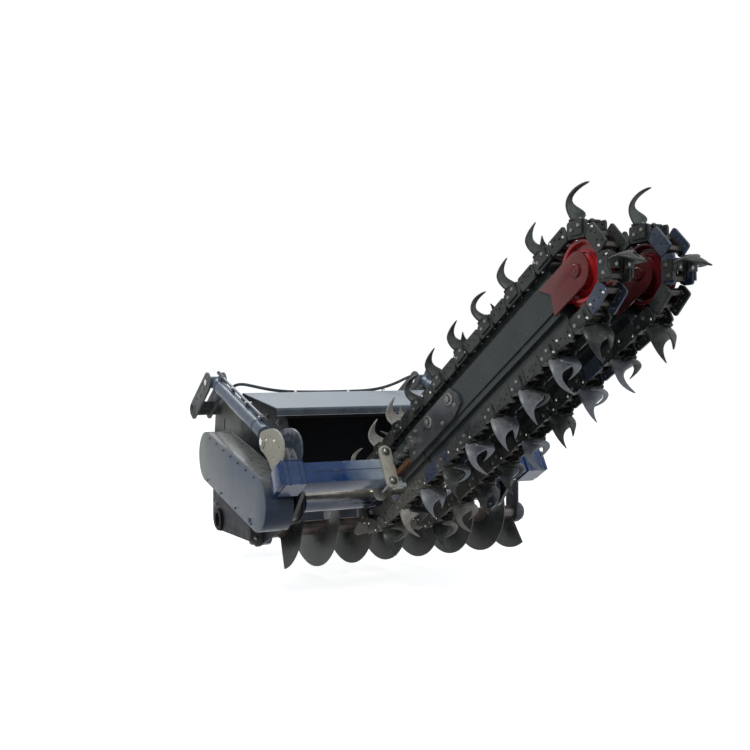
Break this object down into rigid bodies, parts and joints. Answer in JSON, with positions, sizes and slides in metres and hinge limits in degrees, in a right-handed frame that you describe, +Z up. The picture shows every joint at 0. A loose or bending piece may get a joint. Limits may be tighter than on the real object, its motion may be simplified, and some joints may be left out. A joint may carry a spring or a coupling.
{
  "type": "trencher",
  "caption": "Tractor-mounted chain trencher: hitch frame with enclosed chain drive, a lift beam carrying twin digging-chain booms, and a transverse spoil auger.",
  "frame": {"origin": "centre of the front face of the headstock beam, where the machine meets the tractor", "axes": "+Y forward to the tractor, +X right seen from behind, +Z up"},
  "size_m": [2.03, 3.642, 1.8833],
  "materials": {
    "slate_paint": "satin slate-blue paint",
    "blue_paint": "gloss deep blue paint",
    "black_paint": "worn near-black paint",
    "red_paint": "gloss red paint",
    "bare_plate": "dull primed plate",
    "machined_steel": "machined",
    "worn_steel": "worn and dusty",
    "rusty_steel": "rusty",
    "rubber": "matt",
    "guard_plastic": "matt"
  },
  "bodies": {
    "frame": {"headstock_beam": "slate_paint", "hitch_lug_left": "slate_paint", "hitch_lug_right": "slate_paint", "top_link_mast": "slate_paint", "top_link_pin": "machined_steel", "frame_side_left": "slate_paint", "frame_side_right": "slate_paint", "hood_cover": "slate_paint", "front_shield": "slate_paint", "rear_cross_tube": "slate_paint", "pivot_housing_left": "black_paint", "pivot_housing_right": "black_paint", "bracket_cross_tube": "slate_paint", "cylinder_bracket_left": "slate_paint", "cylinder_bracket_right": "slate_paint", "chain_case": "slate_paint", "chain_case_cover": "slate_paint", "gearbox_housing": "slate_paint", "pto_guard": "guard_plastic", "auger_case": "slate_paint", "cross_shaft_tube": "slate_paint", "auger_bearing_left": "black_paint", "auger_bearing_right": "slate_paint", "auger_hanger": "slate_paint", "hydraulic_hose": "rubber"},
    "boom": {"lift_beam": "blue_paint", "lift_lug_left": "bare_plate", "lift_lug_right": "blue_paint", "swing_arm_left": "blue_paint", "swing_arm_right": "blue_paint", "boom_base_left": "black_paint", "boom_base_right": "black_paint", "boom_bar_left": "black_paint", "boom_bar_right": "black_paint", "clamp_plate_left": "black_paint", "clamp_plate_right": "black_paint", "tension_bar_left": "rusty_steel", "tension_bar_right": "rusty_steel", "clamp_strap_left": "bare_plate", "clamp_strap_right": "bare_plate", "digging_chain_left": "black_paint", "digging_chain_right": "black_paint", "tail_fork_left": "red_paint", "tail_fork_right": "red_paint", "tail_axle_left": "red_paint", "tail_axle_right": "red_paint"},
    "drive_shaft": {"drive_shaft": "machined_steel", "drive_sprocket_left": "worn_steel", "drive_sprocket_right": "worn_steel", "case_sprocket_lower": "worn_steel"},
    "cross_shaft": {"cross_shaft": "machined_steel", "case_sprocket_upper": "worn_steel"},
    "pto_shaft": {"pto_shaft": "machined_steel"},
    "auger": {"auger": "worn_steel"},
    "tail_wheel_left": {"tail_wheel_left": "red_paint"},
    "barrel_left": {"cylinder_barrel_left": "slate_paint"},
    "rod_left": {"cylinder_rod_left": "machined_steel"},
    "tail_wheel_right": {"tail_wheel_right": "red_paint"},
    "barrel_right": {"cylinder_barrel_right": "slate_paint"},
    "rod_right": {"cylinder_rod_right": "machined_steel"}
  },
  "joints": [
    {"name": "boom_lift", "type": "hinge", "parent": "frame", "child": "boom", "pos_m": [0, -1.45, 0.29], "axis": [1, 0, 0], "range_deg": [-8, 80]},
    {"name": "drive_turn", "type": "hinge", "parent": "frame", "child": "drive_shaft", "pos_m": [0, -1.45, 0.29], "axis": [1, 0, 0], "continuous": true},
    {"name": "cross_turn", "type": "hinge", "parent": "frame", "child": "cross_shaft", "pos_m": [0, -0.57, 0.453], "axis": [1, 0, 0], "continuous": true},
    {"name": "pto_turn", "type": "hinge", "parent": "frame", "child": "pto_shaft", "pos_m": [0, -0.57, 0.453], "axis": [0, 1, 0], "continuous": true},
    {"name": "auger_turn", "type": "hinge", "parent": "frame", "child": "auger", "pos_m": [0, -0.89, 0.04], "axis": [1, 0, 0], "continuous": true},
    {"name": "tail_turn_left", "type": "hinge", "parent": "boom", "child": "tail_wheel_left", "pos_m": [-0.154, -3.24012, 1.38699], "axis": [1, 0, 0], "continuous": true},
    {"name": "barrel_swing_left", "type": "hinge", "parent": "frame", "child": "barrel_left", "pos_m": [-0.7715, -0.43, 0.89], "axis": [1, 0, 0], "range_deg": [-3, 9]},
    {"name": "rod_slide_left", "type": "slide", "parent": "barrel_left", "child": "rod_left", "axis": [0, -0.9625, -0.2712], "range_m": [-0.045, 0.42]},
    {"name": "tail_turn_right", "type": "hinge", "parent": "boom", "child": "tail_wheel_right", "pos_m": [0.154, -3.24012, 1.38699], "axis": [1, 0, 0], "continuous": true},
    {"name": "barrel_swing_right", "type": "hinge", "parent": "frame", "child": "barrel_right", "pos_m": [0.6615, -0.43, 0.89], "axis": [1, 0, 0], "range_deg": [-3, 9]},
    {"name": "rod_slide_right", "type": "slide", "parent": "barrel_right", "child": "rod_right", "axis": [0, -0.9625, -0.2712], "range_m": [-0.045, 0.42]}
  ],
  "couplings": [
    {"joint": "cross_turn", "follows": "drive_turn", "ratio": 1.4286},
    {"joint": "pto_turn", "follows": "drive_turn", "ratio": 2.381},
    {"joint": "auger_turn", "follows": "drive_turn", "ratio": 0.7143},
    {"joint": "tail_turn_left", "follows": "drive_turn", "ratio": 1},
    {"joint": "barrel_swing_left", "follows": "boom_lift", "ratio": 0.07244},
    {"joint": "rod_slide_left", "follows": "boom_lift", "m_per_rad": 0.28009},
    {"joint": "tail_turn_right", "follows": "drive_turn", "ratio": 1},
    {"joint": "barrel_swing_right", "follows": "boom_lift", "ratio": 0.07244},
    {"joint": "rod_slide_right", "follows": "boom_lift", "m_per_rad": 0.28009}
  ]
}
